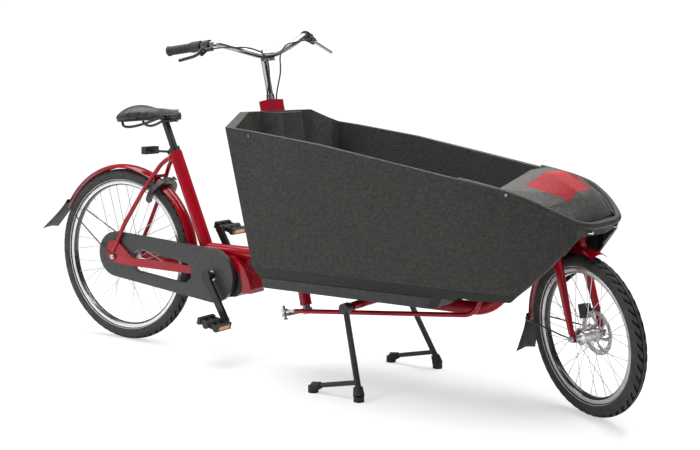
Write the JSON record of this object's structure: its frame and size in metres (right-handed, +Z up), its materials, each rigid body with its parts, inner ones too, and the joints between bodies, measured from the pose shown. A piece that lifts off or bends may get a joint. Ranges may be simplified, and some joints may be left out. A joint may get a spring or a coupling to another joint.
{
  "type": "cargo bicycle",
  "caption": "Two-wheeled cargo bicycle with a large moulded tub ahead of the rider, rod-linked front steering, chain drive, mid motor, fenders and a two-leg centre stand.",
  "frame": {"origin": "floor level, under the middle of the bicycle's length, on its middle plane", "axes": "+X forwards, +Y to the rider's left, +Z up"},
  "size_m": [2.5173, 0.6691, 1.1769],
  "materials": {
    "red_paint": "gloss",
    "black_metal": "satin",
    "black_plastic": "satin",
    "box_foam": "speckled moulded foam",
    "black_rubber": "matt",
    "saddle_vinyl": "satin",
    "tyre_rubber": "matt",
    "silver_alloy": "satin",
    "chrome": "polished",
    "steel": "brushed"
  },
  "bodies": {
    "frame": {"seat_tube": "red_paint", "main_tube": "red_paint", "column_housing": "red_paint", "cargo_beam": "red_paint", "head_tube": "red_paint", "steering_bushes": "steel", "motor_cradle": "red_paint", "rear_stays": "red_paint", "seat_clamp": "black_metal", "motor_unit": "black_plastic", "drive_chain": "steel", "chaincase": "black_plastic", "rear_fender": "red_paint", "rear_mudflap": "black_rubber", "rear_fender_stays": "black_metal", "rear_light": "black_plastic", "lock_ring": "black_metal", "cargo_box": "box_foam", "box_tray": "black_plastic", "nose_hood": "box_foam", "box_bolts": "chrome", "rear_axle": "steel", "control_cables": "black_rubber"},
    "rear_wheel": {"rear_tyre": "tyre_rubber", "rear_rim": "silver_alloy", "rear_hub": "silver_alloy", "rear_spokes": "steel"},
    "front_wheel": {"front_tyre": "tyre_rubber", "front_rim": "silver_alloy", "front_hub": "silver_alloy", "front_spokes": "steel", "brake_disc": "steel"},
    "sprocket": {"rear_sprocket": "steel"},
    "crank": {"crankset": "black_metal", "chainring": "steel"},
    "right_pedal_body": {"right_pedal": "black_plastic"},
    "left_pedal_body": {"left_pedal": "black_plastic"},
    "saddle": {"seat_post": "black_metal", "saddle_rails": "black_metal", "saddle_shell": "black_plastic", "saddle_cover": "saddle_vinyl"},
    "lock": {"lock_bolt": "black_plastic"},
    "stand": {"stand_frame": "black_metal", "stand_feet": "black_rubber"},
    "column": {"steering_column": "steel", "handlebar_stem": "chrome", "handlebar": "silver_alloy", "grips": "black_rubber", "brake_perches": "black_plastic"},
    "shifter": {"gear_shifter": "black_plastic"},
    "left_lever": {"left_brake_lever": "silver_alloy"},
    "right_lever": {"right_brake_lever": "black_plastic"},
    "link": {"steering_rod": "red_paint", "rod_ends": "steel"},
    "fork": {"fork": "red_paint", "front_fender": "red_paint", "front_fender_stays": "black_metal", "front_mudflap": "black_rubber", "front_axle": "steel", "brake_caliper": "black_metal"}
  },
  "joints": [
    {"name": "column_steer", "type": "hinge", "parent": "frame", "child": "column", "pos_m": [-0.156, 0, 0.941], "axis": [-0.2079, 0, 0.9781], "range_deg": [-10, 70], "deforming": ["control_cables"]},
    {"name": "fork_steer", "type": "hinge", "parent": "frame", "child": "fork", "pos_m": [1.015, 0, 0.248], "axis": [-0.2079, 0, 0.9781], "range_deg": [-10, 70]},
    {"name": "rod_swing", "type": "hinge", "parent": "column", "child": "link", "pos_m": [-0.04455, -0.07361, 0.21225], "axis": [-0.2079, 0, 0.9781], "range_deg": [-70, 10]},
    {"name": "front_wheel_spin", "type": "hinge", "parent": "fork", "child": "front_wheel", "pos_m": [1.03618, -0.0125, 0.2525], "axis": [0.4891, 0.866, 0.104], "continuous": true},
    {"name": "rear_wheel_spin", "type": "hinge", "parent": "frame", "child": "rear_wheel", "pos_m": [-0.846, 0, 0.33], "axis": [0, 1, 0], "continuous": true},
    {"name": "crank_spin", "type": "hinge", "parent": "frame", "child": "crank", "pos_m": [-0.376, 0, 0.3], "axis": [0, 1, 0], "continuous": true},
    {"name": "sprocket_spin", "type": "hinge", "parent": "frame", "child": "sprocket", "pos_m": [-0.846, -0.053, 0.33], "axis": [0, 1, 0], "continuous": true},
    {"name": "right_pedal_spin", "type": "hinge", "parent": "crank", "child": "right_pedal_body", "pos_m": [-0.291, -0.15, 0.15278], "axis": [0, 1, 0], "continuous": true},
    {"name": "left_pedal_spin", "type": "hinge", "parent": "crank", "child": "left_pedal_body", "pos_m": [-0.461, 0.15, 0.44722], "axis": [0, 1, 0], "continuous": true},
    {"name": "stand_pivot", "type": "hinge", "parent": "frame", "child": "stand", "pos_m": [0.283, 0, 0.278], "axis": [0, 1, 0], "range_deg": [0, 70]},
    {"name": "seat_height", "type": "slide", "parent": "frame", "child": "saddle", "axis": [-0.393, 0, 0.9195], "range_m": [-0.08, 0.05]},
    {"name": "gear_twist", "type": "hinge", "parent": "column", "child": "shifter", "pos_m": [-0.35973, -0.14755, 1.11569], "axis": [-0.993, -0.0058, -0.1176], "range_deg": [0, 90]},
    {"name": "left_lever_pull", "type": "hinge", "parent": "column", "child": "left_lever", "pos_m": [-0.11183, 0.20035, 1.1399], "axis": [0.469, 0.2842, 0.8362], "range_deg": [0, 14], "stiffness_Nm_per_rad": 2, "springref_deg": -5.73},
    {"name": "right_lever_pull", "type": "hinge", "parent": "column", "child": "right_lever", "pos_m": [-0.3229, -0.17341, 1.09504], "axis": [0.0812, 0.69, -0.7193], "range_deg": [0, 14], "stiffness_Nm_per_rad": 2, "springref_deg": -5.73},
    {"name": "lock_turn", "type": "hinge", "parent": "frame", "child": "lock", "pos_m": [-0.66496, 0, 0.57918], "axis": [-0.809, 0, 0.5878], "range_deg": [0, 104]}
  ],
  "couplings": [
    {"joint": "fork_steer", "follows": "column_steer", "ratio": 1},
    {"joint": "rod_swing", "follows": "column_steer", "ratio": -1},
    {"joint": "sprocket_spin", "follows": "crank_spin", "ratio": 2}
  ]
}
